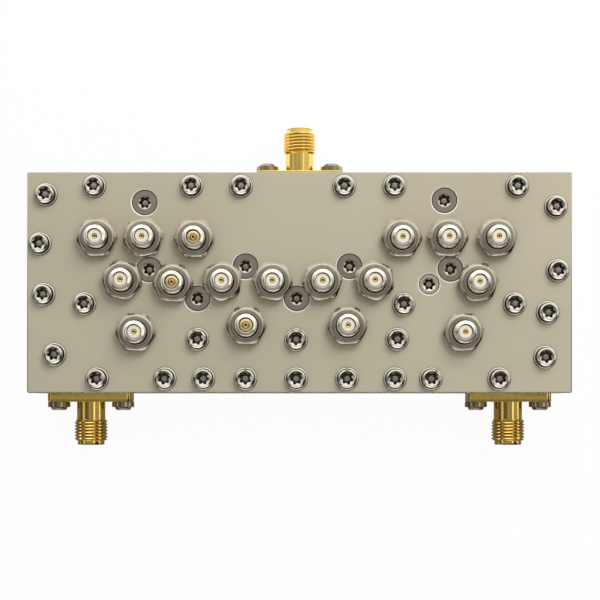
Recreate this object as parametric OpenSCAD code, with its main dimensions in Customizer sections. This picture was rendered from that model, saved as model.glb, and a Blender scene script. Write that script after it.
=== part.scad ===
// Cavity duplexer: two chains of coaxial resonators milled into one block, under one cover.
// X runs along the long side, Y towards the common port and Z up out of the cover.
// The origin is the middle of the block's flat back. All sizes are in millimetres.

/* [Body] */
// Width of the block and its cover
body_w = 100; // [98:0.5:110]
// Depth of the block and its cover, from the band ports' side to the common port's side
body_d = 40.5; // [40:0.5:46]
// Height of the block below the cover
housing_h = 17.5; // [17:0.5:22]
// Thickness of the cover
cover_t = 2.5; // [2.2:0.1:3.5]
// Bevel on the edges of the cover
cover_bevel = 0.2; // [0.1:0.05:0.4]
// Bevel on the edges of the block
housing_bevel = 0.2; // [0.1:0.05:0.6]

/* [Cavities] */
// Radius of a resonator's cavity
cavity_r = 3.3; // [3.2:0.05:3.5]
// Thickness of the floor below the cavities
floor_t = 3; // [2.8:0.1:4]
// Width of the iris that joins two cavities
iris_w = 2.4; // [1.6:0.1:2.6]
// Height of the sill that is left below an iris
iris_sill = 4.5; // [2:0.5:7]

/* [Resonators] */
// Radius of a resonator post
post_r = 2.2; // [2:0.05:2.4]
// Gap between the posts and the cover
post_gap = 3.4; // [2.8:0.1:4.5]
// Radius of the bore in the top of a post
post_bore_r = 1.2; // [1:0.05:1.4]
// Depth of the bore in the top of a post
post_bore_l = 6; // [4:0.5:8]
// Radius of the stud that holds a post in the floor
post_stud_r = 0.8; // [0.6:0.05:1]
// Length of the stud that holds a post in the floor
post_stud_l = 1.6; // [1:0.1:2]

/* [Tuners] */
// Radius of a tuner's threaded sleeve
sleeve_r = 2.05; // [1.95:0.05:2.1]
// Height that a sleeve stands above the cover
sleeve_above = 4.3; // [3.6:0.1:5.5]
// Length that a sleeve reaches below the cover
sleeve_below = 1.4; // [0.5:0.1:2]
// Radius of the bore through a sleeve
sleeve_bore_r = 1.25; // [1.1:0.05:1.35]
// Radius of the rounding outside a sleeve's rim
sleeve_round = 0.5; // [0.35:0.05:0.6]
// Radius of the rounding inside a sleeve's rim
sleeve_lip = 0.25; // [0.1:0.05:0.3]
// Depth of a plug's face below its sleeve's top
plug_sink = 0.35; // [0.3:0.05:0.5]
// Radius of a tuner's centre pin
pin_r = 0.48; // [0.4:0.02:0.6]
// Height that a centre pin stands above its plug
pin_proud = 0.15; // [0.05:0.05:0.3]
// Radius of the hole in the end of a centre pin
pin_hole_r = 0.18; // [0.12:0.02:0.2]
// Length that a centre pin reaches into its post
pin_dip = 2; // [1:0.25:3]
// Size of a lock nut across its flats
nut_af = 6.8; // [6.6:0.1:7]
// Height of a lock nut
nut_h = 2.1; // [1.6:0.1:2.6]
// Radius at which a lock nut's corners are turned off
nut_corner_r = 3.72; // [3.6:0.02:3.8]
// Radius of the flat ring on top of a lock nut
nut_top_r = 3.05; // [2.7:0.05:3.2]
// Height of the bevel round the top of a lock nut
nut_bevel = 0.6; // [0.3:0.05:0.8]

/* [Cover screws] */
// Radius of a cover screw's thread
screw_r = 1; // [0.8:0.1:1.1]
// Radius of a cover screw's head
screw_head_r = 1.68; // [1.6:0.02:1.8]
// Height of a cover screw's head
screw_head_h = 1.5; // [1.3:0.1:1.8]
// Radius of the dish in the top of a cover screw's head
screw_dish_r = 1.36; // [1.3:0.02:1.5]
// Depth of the dish in the top of a cover screw's head
screw_dish_l = 0.1; // [0.1:0.05:0.3]
// Length of thread that a cover screw has in the block
screw_bite = 3; // [2:0.5:3.5]
// Radius of a washer
washer_r = 2.15; // [2:0.05:2.2]
// Thickness of a washer
washer_t = 0.3; // [0.2:0.05:0.5]
// Height of the crowned ring round a washer's seat
washer_crown = 0.08; // [0.04:0.02:0.12]
// Distance of the two long rows of cover screws from the edge
edge_inset = 2.6; // [2.55:0.05:3]

/* [Flush screws] */
// Radius of a flush screw's thread
flush_r = 1.25; // [1:0.05:1.25]
// Radius of a flush screw's head
flush_head_r = 2.25; // [2.1:0.05:2.3]
// Radius of the small flush screw's thread
small_flush_r = 1; // [0.8:0.1:1.1]
// Radius of the small flush screw's head
small_flush_head_r = 1.8; // [1.6:0.02:1.9]
// Length of thread that a flush screw has in the block
flush_bite = 4; // [2:0.5:5]
// Depth of a flush head below the cover's face
flush_sink = 0.2; // [0.1:0.05:0.3]

/* [Driver recess] */
// Radius of the six-lobed recess over its lobes
recess_r = 1.12; // [0.9:0.02:1.2]
// Depth of the six-lobed recess
recess_l = 0.8; // [0.5:0.1:1]

/* [Ports] */
// Distance of the two band ports from the short ends of the block
port_inset = 10.2; // [9.6:0.1:11]
// Height of the ports above the back
port_z = 9.5; // [8.5:0.1:10.5]
// Wall between the block's side and a port's pocket
port_wall = 5.2; // [4.8:0.1:5.6]
// Distance between a flange's two holes
flange_pitch = 12.22; // [12:0.02:12.4]
// Distance from a hole's middle to the flange's end
flange_end = 1.83; // [1.7:0.01:2.2]
// Height of a port's flange
flange_h = 5.72; // [5.5:0.02:6]
// Thickness of a port's flange
flange_t = 1.65; // [1.4:0.05:2]
// Radius of a flange's corners
flange_corner_r = 1.1; // [0.5:0.1:1.5]
// Radius of a flange's holes
flange_hole_r = 1.3; // [1.2:0.05:1.4]
// Radius of a port's plain barrel
barrel_r = 2.67; // [2.6:0.01:2.8]
// Length of a port's plain barrel
barrel_l = 3.4; // [2.8:0.1:3.6]
// Outer radius of a port's thread
thread_r = 3.12; // [3.05:0.01:3.18]
// Length of a port's thread
thread_l = 3.95; // [3.5:0.05:4.2]
// Bevel at both ends of a port's thread
thread_bevel = 0.25; // [0.1:0.05:0.4]
// Radius of the plain tip beyond the thread
tip_r = 2.52; // [2.46:0.02:2.6]
// Length of a port from the block's side to its tip
port_l = 9.8; // [9.6:0.05:10.2]
// Radius of a port's mouth
mouth_r = 2.31; // [2.25:0.01:2.34]
// Depth of a port's mouth
mouth_l = 1.95; // [1.5:0.05:2.2]
// Radius of a port's insulator
insulator_r = 2.05; // [1.9:0.01:2.1]
// Radius of a port's centre contact
contact_r = 0.635; // [0.6:0.005:0.7]
// Radius of the socket in a centre contact
socket_r = 0.47; // [0.46:0.005:0.5]
// Depth of the socket in a centre contact
socket_l = 2.6; // [2:0.1:3]
// Width of the slots in a centre contact
socket_slot = 0.22; // [0.1:0.02:0.3]

/* [Flange screws] */
// Radius of a flange screw's thread
flange_screw_r = 1.09; // [1:0.01:1.15]
// Radius of a flange screw's head
flange_head_r = 2.1; // [1.9:0.02:2.2]
// Height of the straight band of a flange screw's head
flange_head_band = 1; // [0.8:0.05:1.2]
// Height of the dome on a flange screw's head
flange_head_dome = 0.55; // [0.3:0.05:0.6]
// Length of thread that a flange screw has in the block
flange_bite = 4; // [3:0.25:4.5]

/* [Feed lines] */
// Radius of the pocket behind a port
pocket_r = 2.4; // [2.3:0.05:2.6]
// Width of the channel from a pocket to its resonator
channel_w = 4.2; // [3.8:0.1:4.6]
// Depth of the feed channels below the ports' height
channel_drop = 3; // [2.5:0.1:4]
// Radius of the common feed rod
rod_r = 0.9; // [0.8:0.05:1]
// Radius of the wires that tap the resonators
wire_r = 0.5; // [0.3:0.05:0.6]
// Wall of an eyelet that joins the wires to a conductor
eyelet_wall = 0.45; // [0.3:0.05:0.6]
// Length of an eyelet along its conductor
eyelet_l = 1.4; // [1:0.1:1.8]
// Distance of the common junction from the long middle line
tee_y = 2.4; // [2.2:0.1:3]

/* [Mounting] */
// Distance of the mounting holes in the back from the short ends
mount_inset_x = 6; // [4:0.5:8]
// Distance of the mounting holes in the back from the long sides
mount_inset_y = 4.25; // [3.5:0.25:5]
// Radius of the mounting holes in the back
mount_hole_r = 1.25; // [1:0.05:1.6]
// Depth of the mounting holes in the back
mount_hole_l = 4; // [3:0.5:5]

/* [Hidden] */

$fn = 48;

// Gap between a thread or plug and the hole that it fills
fit = 0.02;
// Gap round a screw where it only passes through
pass = 0.15;
// Extra length of a blind hole past the end of its screw
tip_room = 0.5;
// Overlap of a cut past the face that it opens
over = 1;
// Free space round a wire where it passes through a wall
wire_room = 0.6;
// Small bevel that breaks a turned piece's edges
edge = 0.1;

// Size of the cover for which the places on it are written: they spread with the real one
plan_w = 100;
plan_d = 40.5;
function spread_x(x) = x * body_w / plan_w;
function spread_y(y) = y * body_d / plan_d;
function spread(places) = [for (place = places) [spread_x(place[0]), spread_y(place[1])]];

side_x = body_w / 2;
side_y = body_d / 2;
top_z = housing_h + cover_t;
post_h = housing_h - floor_t - post_gap;
channel_z = port_z - channel_drop;
pocket_y = side_y - port_wall - pocket_r;
insulator_face = port_l - mouth_l;
contact_tail = port_wall + pocket_r + eyelet_l / 2;

// Resonators in the order in which a signal passes them, from its band port to the common junction
low_band = spread([
    [-29.9, -9.2], [-32.4, 0.3], [-37, 8.1], [-28.5, 8.1], [-19.2, 7.9],
    [-23.1, -0.2], [-14.1, 0.1], [-9.7, -8], [-4.9, 0.1]
]);
high_band = spread([
    [30, -9.2], [32.6, -0.1], [36.1, 8.1], [27.1, 8.1], [18.7, 8],
    [13.7, 0.2], [8.8, -8], [4.2, 0.1]
]);
resonators = concat(low_band, high_band);
// Last resonator of each chain, next to the common junction
chain_ends = [low_band[len(low_band) - 1], high_band[len(high_band) - 1]];
tee = [0, tee_y];
// Direction that a flat of each resonator's lock nut faces, in degrees
nut_turns = [28, 18, 34, 42, 29, 29, 54, 30, 20, 31, 38, 35, 28, 29, 7, 32, 40];
// Places in the list of resonators whose tuner has a solid brass rod
brass_tuners = [4, 5, 7];
plain_tuners = [for (i = [0:len(resonators) - 1]) if (len(search(i, brass_tuners)) == 0) i];

// Cover screws along the two long edges, by their place along X
common_side_x = [-37.6, -19.8, -10.7, 8.2, 17.4, 39.9];
band_side_x = [-37.1, -24.7, -17.6, -9.9, -0.6, 8.7, 17.5, 24.1, 36.6];
// Cover screws near the two short edges, as the distance from that edge and the place along Y
left_screws = [[3.5, 16.1], [2.4, 7.1], [3.1, -2.2], [5.1, -13.2]];
right_screws = [[3, 13.9], [2.7, 2.2], [4.5, -5.5], [5, -13.7]];
// Cover screws in the walls between the cavities
inner_screws = [[-39.4, -3.9], [-18.7, -10.4], [-0.6, -10.5], [17.9, -10.4], [19.1, -4], [39.4, -3.9]];
screw_places = concat(
    [for (x = common_side_x) [spread_x(x), side_y - edge_inset]],
    [for (x = band_side_x) [spread_x(x), edge_inset - side_y]],
    [for (s = left_screws) [s[0] - side_x, spread_y(s[1])]],
    [for (s = right_screws) [side_x - s[0], spread_y(s[1])]],
    spread(inner_screws)
);
// Flush screws, where the lock nuts leave no room for a raised head
flush_places = spread([
    [-28.4, 14.7], [-27.6, 2.4], [-18.7, -2.9], [-9.9, 3],
    [-0.5, -2.9], [9.2, 3], [26.6, 15.1], [27.7, 2.5]
]);
small_flush_place = [spread_x(23.8), spread_y(-0.3)];
// Each screw is left at another angle when it is tight
screw_turn = 37;

// A port is its place along X and the long side that it stands on
common_port = [0, 1];
low_port = [port_inset - side_x, -1];
high_port = [side_x - port_inset, -1];
ports = [common_port, low_port, high_port];

// Shapes that several pieces share

module bevelled_rect(a, b, bevel) {
    polygon([
        [-a / 2 + bevel, -b / 2], [a / 2 - bevel, -b / 2], [a / 2, -b / 2 + bevel], [a / 2, b / 2 - bevel],
        [a / 2 - bevel, b / 2], [-a / 2 + bevel, b / 2], [-a / 2, b / 2 - bevel], [-a / 2, -b / 2 + bevel]
    ]);
}

// A block with every edge bevelled, standing on z = 0
module bevelled_block(w, d, h, bevel) {
    intersection() {
        linear_extrude(h) bevelled_rect(w, d, bevel);
        translate([0, d / 2, h / 2]) rotate([90, 0, 0]) linear_extrude(d) bevelled_rect(w, h, bevel);
        translate([-w / 2, 0, h / 2]) rotate([90, 0, 90]) linear_extrude(w) bevelled_rect(d, h, bevel);
    }
}

module rounded_rect(a, b, r) {
    square([a - 2 * r, b], center = true);
    square([a, b - 2 * r], center = true);
    for (x = [r - a / 2, a / 2 - r], y = [r - b / 2, b / 2 - r]) translate([x, y]) circle(r);
}

// The six-lobed recess of a screw, cut down from z = 0
module driver_recess() {
    lobe_gap_r = 0.42 * recess_r;
    lobe_gap_place = 1.14 * recess_r;
    translate([0, 0, -recess_l]) linear_extrude(recess_l + over) difference() {
        circle(recess_r);
        for (turn = [30:60:330]) rotate(turn) translate([lobe_gap_place, 0]) circle(lobe_gap_r);
    }
}

module drill(place, r, from_z, to_z) {
    translate([place[0], place[1], from_z]) cylinder(r = r, h = to_z - from_z);
}

// Carries a piece from its own frame, with its seat at z = 0 and its tip up, to a port
module at_port(port) {
    translate([port[0], port[1] * side_y, port_z]) rotate([90, 0, port[1] > 0 ? 180 : 0]) children();
}

// A straight slot from one place to another, down to from_z
module slot_between(a, b, width, from_z) {
    run = b - a;
    translate([a[0], a[1], from_z]) rotate(atan2(run[1], run[0]))
        translate([0, -width / 2, 0]) cube([norm(run), width, housing_h - from_z + over]);
}

// A round wire at the ports' height from one place to another
module wire_between(a, b) {
    run = b - a;
    translate([a[0], a[1], port_z]) rotate([0, 90, atan2(run[1], run[0])])
        cylinder(r = wire_r, h = norm(run));
}

// Block and cover

module cavity_chain(chain) {
    for (place = chain) drill(place, cavity_r, floor_t, housing_h + over);
    for (i = [1:len(chain) - 1]) slot_between(chain[i - 1], chain[i], iris_w, floor_t + iris_sill);
    for (place = chain) drill(place, post_stud_r + fit, floor_t - post_stud_l - fit, floor_t + over);
}

module feed_channel(port, target) {
    pocket = [port[0], port[1] * pocket_y];
    drill(pocket, pocket_r, channel_z, housing_h + over);
    slot_between(pocket, target, channel_w, channel_z);
}

module housing() {
    color([0.72, 0.69, 0.6]) difference() {
        bevelled_block(body_w, body_d, housing_h, housing_bevel);
        cavity_chain(low_band);
        cavity_chain(high_band);
        feed_channel(low_port, low_band[0]);
        feed_channel(high_port, high_band[0]);
        feed_channel(common_port, tee);
        drill(tee, channel_w / 2, channel_z, housing_h + over);
        for (place = chain_ends) slot_between(tee, place, 2 * (wire_r + wire_room), channel_z);
        for (place = screw_places)
            drill(place, screw_r + fit, housing_h - screw_bite - tip_room, housing_h + over);
        for (place = flush_places)
            drill(place, flush_r + fit, housing_h - flush_bite - tip_room, housing_h + over);
        drill(small_flush_place, small_flush_r + fit, housing_h - flush_bite - tip_room, housing_h + over);
        for (port = ports) at_port(port) {
            translate([0, 0, -port_wall - over]) cylinder(r = insulator_r + fit, h = port_wall + 2 * over);
            for (x = [-flange_pitch / 2, flange_pitch / 2]) translate([x, 0, -flange_bite - tip_room])
                cylinder(r = flange_screw_r + fit, h = flange_bite + tip_room + over);
        }
        for (x = [mount_inset_x - side_x, side_x - mount_inset_x])
            for (y = [mount_inset_y - side_y, side_y - mount_inset_y])
                drill([x, y], mount_hole_r, -over, mount_hole_l);
    }
}

// A countersunk hole through the cover for a flush head
module countersink(place, head_r, thread_r) {
    hole_r = thread_r + pass;
    mouth = head_r + flush_sink + edge + fit;
    drill(place, hole_r, housing_h - over, top_z + over);
    translate([place[0], place[1], top_z - mouth + hole_r])
        cylinder(r1 = hole_r, r2 = mouth + over, h = mouth + over - hole_r);
}

module cover_plate() {
    color([0.74, 0.71, 0.62]) difference() {
        translate([0, 0, housing_h]) bevelled_block(body_w, body_d, cover_t, cover_bevel);
        for (place = resonators) drill(place, sleeve_r + fit, housing_h - over, top_z + over);
        for (place = screw_places) drill(place, screw_r + pass, housing_h - over, top_z + over);
        for (place = flush_places) countersink(place, flush_head_r, flush_r);
        countersink(small_flush_place, small_flush_head_r, small_flush_r);
    }
}

// Resonators

// A turned post with a foot, a stud for the floor and a bore for the tuner's pin
module post() {
    foot_r = post_r + 0.4;
    foot_h = 0.8;
    post_bevel = 0.2;
    rotate_extrude() polygon([
        [0, -post_stud_l], [post_stud_r, -post_stud_l], [post_stud_r, 0], [foot_r, 0], [foot_r, foot_h],
        [post_r, foot_h + foot_r - post_r], [post_r, post_h - post_bevel], [post_r - post_bevel, post_h],
        [post_bore_r, post_h], [post_bore_r, post_h - post_bore_l], [0, post_h - post_bore_l]
    ]);
}

module posts(chain) {
    color([0.83, 0.83, 0.82]) for (place = chain) translate([place[0], place[1], floor_t]) post();
}

module low_band_resonators() { posts(low_band); }
module high_band_resonators() { posts(high_band); }

// Tuners, each in a frame with z = 0 on the cover's face

plug_top = sleeve_above - plug_sink;
plug_bottom = -cover_t - sleeve_below;
pin_bottom = -cover_t - post_gap - pin_dip;
pin_top = plug_top + pin_proud;

module at_tuners(list) {
    for (i = list) translate([resonators[i][0], resonators[i][1], top_z]) children();
}

// A sleeve with a bore for its plug and a rim that is rounded inside and outside
module sleeve() {
    length = sleeve_above - plug_bottom;
    wall = sleeve_r - sleeve_bore_r;
    round_r = min(sleeve_round, 0.64 * wall);
    lip_r = min(sleeve_lip, 0.98 * wall - round_r);
    translate([0, 0, plug_bottom]) difference() {
        rotate_extrude() union() {
            translate([0, edge]) square([sleeve_r, length - edge - round_r]);
            square([sleeve_r - edge, length - round_r]);
            square([sleeve_r - round_r, length - lip_r]);
            translate([sleeve_bore_r + lip_r, 0]) square([wall - round_r - lip_r, length]);
            translate([sleeve_r - round_r, length - round_r]) circle(round_r);
            translate([sleeve_bore_r + lip_r, length - lip_r]) circle(lip_r);
        }
        translate([0, 0, -over]) cylinder(r = sleeve_bore_r, h = length + 2 * over);
    }
}

// The rounded rim and the hole at the end of a centre pin, up to z = 0
module pin_end(r) {
    wall = (pin_r - pin_hole_r) / 2;
    difference() {
        rotate_extrude() union() {
            translate([pin_hole_r + wall, -wall]) circle(wall);
            translate([0, -3 * wall]) square([r, 2 * wall]);
        }
        translate([0, 0, -2 * recess_l]) cylinder(r = pin_hole_r, h = 2 * recess_l + over);
    }
}

// A lock nut that has a flat towards +X
module lock_nut() {
    bore_r = sleeve_r + fit;
    bore_bevel = 0.22;
    difference() {
        intersection() {
            rotate(30) cylinder(r = nut_af / 2 / cos(30), h = nut_h, $fn = 6);
            rotate_extrude() polygon([
                [0, 0], [nut_corner_r - edge, 0], [nut_corner_r, edge], [nut_corner_r, nut_h - nut_bevel],
                [nut_top_r, nut_h], [0, nut_h]
            ]);
        }
        translate([0, 0, -over]) cylinder(r = bore_r, h = nut_h + 2 * over);
        translate([0, 0, nut_h - bore_bevel])
            cylinder(r1 = bore_r, r2 = bore_r + bore_bevel + over, h = bore_bevel + over);
    }
}

module tuner_sleeves() {
    color([0.86, 0.85, 0.84]) at_tuners([0:len(resonators) - 1]) sleeve();
}

module tuner_lock_nuts() {
    color([0.62, 0.61, 0.58]) for (i = [0:len(resonators) - 1])
        at_tuners([i]) rotate(nut_turns[i]) lock_nut();
}

module tuner_insulators() {
    color("white") at_tuners(plain_tuners) translate([0, 0, plug_bottom]) difference() {
        cylinder(r = sleeve_bore_r - fit, h = plug_top - plug_bottom);
        translate([0, 0, -over]) cylinder(r = pin_r + fit, h = plug_top - plug_bottom + 2 * over);
    }
}

module tuner_pins() {
    color("gold") at_tuners(plain_tuners) difference() {
        union() {
            translate([0, 0, pin_bottom]) cylinder(r = pin_r, h = pin_top - pin_bottom - pin_r / 2);
            translate([0, 0, pin_top]) pin_end(pin_r);
        }
        translate([0, 0, pin_top - 2 * recess_l]) cylinder(r = pin_hole_r, h = 2 * recess_l + over);
    }
}

module brass_tuning_rods() {
    color([0.78, 0.62, 0.4]) at_tuners(brass_tuners) difference() {
        union() {
            translate([0, 0, pin_bottom]) cylinder(r = pin_r, h = plug_top - pin_bottom);
            translate([0, 0, plug_bottom]) cylinder(r = sleeve_bore_r - fit, h = plug_top - plug_bottom);
            translate([0, 0, pin_top]) pin_end(pin_r);
        }
        translate([0, 0, pin_top - 2 * recess_l]) cylinder(r = pin_hole_r, h = 2 * recess_l + over);
    }
}

// Screws and washers

// A raised screw with a round shoulder and a dished top, whose seat is at z = 0
module raised_screw() {
    length = washer_t + cover_t + screw_bite;
    seat_r = 0.92 * screw_head_r;
    seat_z = 0.1 * screw_head_h;
    shoulder_z = 0.65 * screw_head_h;
    dish_z = screw_head_h - screw_dish_l;
    dish_floor_r = recess_r + 0.04;
    difference() {
        rotate_extrude() polygon(concat(
            [[0, -length], [screw_r - edge, -length], [screw_r, edge - length], [screw_r, 0]],
            [[seat_r, 0], [screw_head_r, seat_z]],
            [for (a = [0:22.5:90]) [
                screw_dish_r + (screw_head_r - screw_dish_r) * cos(a),
                shoulder_z + (screw_head_h - shoulder_z) * sin(a)
            ]],
            [[dish_floor_r, dish_z], [0, dish_z]]
        ));
        translate([0, 0, dish_z]) driver_recess();
    }
}

// A flush screw, with its head's face at z = 0
module flush_screw(head_r, thread_r) {
    length = cover_t - flush_sink + flush_bite;
    difference() {
        rotate_extrude() polygon([
            [0, 0], [head_r, 0], [head_r, -edge], [thread_r, -edge - head_r + thread_r],
            [thread_r, edge - length], [thread_r - edge, -length], [0, -length]
        ]);
        driver_recess();
    }
}

// A washer with a crowned ring outside the flat on which the screw's head sits
module washer() {
    rim = washer_t / 5;
    seat_r = screw_head_r - 0.02;
    crown_r = (seat_r + washer_r) / 2;
    rotate_extrude() polygon([
        [screw_r + pass, 0], [washer_r - rim, 0], [washer_r, rim], [washer_r, washer_t - rim],
        [(crown_r + washer_r) / 2, washer_t + 0.6 * washer_crown], [crown_r, washer_t + washer_crown],
        [(crown_r + seat_r) / 2, washer_t + 0.7 * washer_crown], [seat_r, washer_t],
        [screw_r + pass, washer_t]
    ]);
}

module cover_screws() {
    color([0.8, 0.8, 0.79]) for (i = [0:len(screw_places) - 1])
        translate([screw_places[i][0], screw_places[i][1], top_z + washer_t]) rotate(i * screw_turn)
            raised_screw();
}

module cover_washers() {
    color([0.7, 0.69, 0.66]) for (place = screw_places) translate([place[0], place[1], top_z]) washer();
}

module flush_screws() {
    color([0.6, 0.59, 0.55]) for (i = [0:len(flush_places) - 1])
        translate([flush_places[i][0], flush_places[i][1], top_z - flush_sink]) rotate(i * screw_turn)
            flush_screw(flush_head_r, flush_r);
}

module small_flush_screw() {
    color([0.68, 0.66, 0.6]) translate([small_flush_place[0], small_flush_place[1], top_z - flush_sink])
        flush_screw(small_flush_head_r, small_flush_r);
}

// Ports, each in a frame with z = 0 on the block's side and the tip up

module port_shell() {
    thread_z = flange_t + barrel_l;
    thread_end = thread_z + thread_l;
    color([0.85, 0.68, 0.3]) difference() {
        union() {
            linear_extrude(flange_t) rounded_rect(flange_pitch + 2 * flange_end, flange_h, flange_corner_r);
            rotate_extrude() polygon([
                [0, 0], [barrel_r, 0], [barrel_r, thread_z], [thread_r - thread_bevel, thread_z],
                [thread_r, thread_z + thread_bevel], [thread_r, thread_end - thread_bevel],
                [thread_r - thread_bevel, thread_end], [tip_r, thread_end], [tip_r, port_l - edge],
                [tip_r - edge, port_l], [0, port_l]
            ]);
        }
        translate([0, 0, -over]) cylinder(r = insulator_r + fit, h = port_l + 2 * over);
        translate([0, 0, insulator_face]) cylinder(r = mouth_r, h = mouth_l + over);
        for (x = [-flange_pitch / 2, flange_pitch / 2]) translate([x, 0, -over])
            cylinder(r = flange_hole_r, h = flange_t + 2 * over);
    }
}

module port_insulator() {
    color("white") translate([0, 0, -port_wall]) difference() {
        cylinder(r = insulator_r, h = port_wall + insulator_face);
        translate([0, 0, -over]) cylinder(r = contact_r + fit, h = port_wall + insulator_face + 2 * over);
    }
}

// A contact with a slotted socket at its tip and a plain tail that reaches into the pocket
module port_contact() {
    slot_z = insulator_face - 0.85 * socket_l;
    color([0.85, 0.68, 0.3]) difference() {
        translate([0, 0, -contact_tail]) cylinder(r = contact_r, h = contact_tail + insulator_face);
        translate([0, 0, insulator_face - socket_l]) cylinder(r = socket_r, h = socket_l + over);
        for (turn = [0, 90]) rotate(turn) translate([-over, -socket_slot / 2, slot_z])
            cube([2 * over, socket_slot, insulator_face - slot_z + over]);
    }
}

module port_screws() {
    head_h = flange_head_band + flange_head_dome;
    dome_r = 0.74 * flange_head_r;
    flat_r = 0.52 * flange_head_r;
    length = flange_t + flange_bite;
    color([0.66, 0.64, 0.6]) for (x = [-flange_pitch / 2, flange_pitch / 2])
        translate([x, 0, flange_t]) difference() {
            rotate_extrude() polygon([
                [0, -length], [flange_screw_r - edge, -length], [flange_screw_r, edge - length],
                [flange_screw_r, 0], [flange_head_r - edge, 0], [flange_head_r, edge],
                [flange_head_r, flange_head_band - edge], [flange_head_r - edge, flange_head_band],
                [dome_r, flange_head_band], [dome_r - edge, flange_head_band + 0.6 * flange_head_dome],
                [flat_r, head_h], [0, head_h]
            ]);
            translate([0, 0, head_h]) driver_recess();
        }
}

module common_port_shell() { at_port(common_port) port_shell(); }
module common_port_insulator() { at_port(common_port) port_insulator(); }
module common_port_contact() { at_port(common_port) port_contact(); }
module common_port_screws() { at_port(common_port) port_screws(); }
module low_port_shell() { at_port(low_port) port_shell(); }
module low_port_insulator() { at_port(low_port) port_insulator(); }
module low_port_contact() { at_port(low_port) port_contact(); }
module low_port_screws() { at_port(low_port) port_screws(); }
module high_port_shell() { at_port(high_port) port_shell(); }
module high_port_insulator() { at_port(high_port) port_insulator(); }
module high_port_contact() { at_port(high_port) port_contact(); }
module high_port_screws() { at_port(high_port) port_screws(); }

// Feed lines inside the block

// A rod from the common contact to the junction, with a socket for the contact's tail
module common_feed_rod() {
    rod_top = pocket_y + eyelet_l;
    rod_bottom = tee_y - eyelet_l;
    socket_depth = rod_top - pocket_y + eyelet_l / 2 + fit;
    color([0.8, 0.5, 0.32]) translate([0, rod_top, port_z]) rotate([90, 0, 0]) difference() {
        cylinder(r = rod_r, h = rod_top - rod_bottom);
        translate([0, 0, -over]) cylinder(r = contact_r + fit, h = socket_depth + over);
    }
}

// An eyelet round a conductor that runs along Y, with a wire to each post
module tap_link(place, conductor_r, targets) {
    color([0.8, 0.5, 0.32]) difference() {
        union() {
            translate([place[0], place[1], port_z]) rotate([90, 0, 0])
                cylinder(r = conductor_r + fit + eyelet_wall, h = eyelet_l, center = true);
            for (target = targets) wire_between(place, target);
        }
        translate([place[0], place[1], port_z]) rotate([90, 0, 0])
            cylinder(r = conductor_r + fit, h = eyelet_l + 2 * over, center = true);
        for (target = targets) drill(target, post_r, floor_t, top_z);
    }
}

module common_tap_link() { tap_link(tee, rod_r, chain_ends); }
module low_tap_link() { tap_link([low_port[0], -pocket_y], contact_r, [low_band[0]]); }
module high_tap_link() { tap_link([high_port[0], -pocket_y], contact_r, [high_band[0]]); }

housing();
cover_plate();
low_band_resonators();
high_band_resonators();
tuner_sleeves();
tuner_lock_nuts();
tuner_insulators();
tuner_pins();
brass_tuning_rods();
cover_screws();
cover_washers();
flush_screws();
small_flush_screw();
common_port_shell();
common_port_insulator();
common_port_contact();
common_port_screws();
low_port_shell();
low_port_insulator();
low_port_contact();
low_port_screws();
high_port_shell();
high_port_insulator();
high_port_contact();
high_port_screws();
common_feed_rod();
common_tap_link();
low_tap_link();
high_tap_link();
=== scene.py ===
"""Dresses the duplexer: turned and threaded pieces, finishes, light and camera."""

import math

import bmesh
import bpy
from mathutils import Euler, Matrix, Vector


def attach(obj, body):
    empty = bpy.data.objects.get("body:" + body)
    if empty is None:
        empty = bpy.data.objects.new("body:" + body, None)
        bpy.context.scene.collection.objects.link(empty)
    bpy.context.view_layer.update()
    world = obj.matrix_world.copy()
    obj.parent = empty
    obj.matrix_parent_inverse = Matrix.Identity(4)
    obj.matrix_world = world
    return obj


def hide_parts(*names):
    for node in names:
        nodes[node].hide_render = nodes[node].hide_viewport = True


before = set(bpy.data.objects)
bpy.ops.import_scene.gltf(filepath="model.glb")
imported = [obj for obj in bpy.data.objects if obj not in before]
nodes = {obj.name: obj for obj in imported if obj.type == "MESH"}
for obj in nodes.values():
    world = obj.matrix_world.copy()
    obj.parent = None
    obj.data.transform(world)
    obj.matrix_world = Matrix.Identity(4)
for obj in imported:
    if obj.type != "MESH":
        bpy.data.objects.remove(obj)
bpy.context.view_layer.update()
MM = 0.001

# Sizes of the solids, in millimetres
COVER_TOP = 20
SIDE_X = 50
SIDE_Y = 20.25
PORT_X = 39.8
PORT_Z = 9.5
PORT_BORE = 2.07
PORT_PITCH = 0.6
FLANGE_T = 1.65
FLANGE_W = 15.88
FLANGE_H = 5.72
FLANGE_PITCH = 12.22
FLANGE_CORNER = 1.1
FLANGE_BEVEL = 0.14
FLANGE_HOLE = 1.3
BARREL_HOLE = 2.45
WASHER_T = 0.3
FLUSH_SINK = 0.2
SLEEVE_RADIUS = 2.05
SLEEVE_ROOT = 1.9
SLEEVE_PITCH = 0.4
PLUG_RADIUS = 1.23
PLUG_TOP = 3.95
PLUG_FOOT = -3.9
PIN_RADIUS = 0.48
PIN_HOLE = 0.18
PIN_HOLE_DEPTH = 1.0
PIN_TOP = 4.1
PIN_FOOT = -7.9

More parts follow.
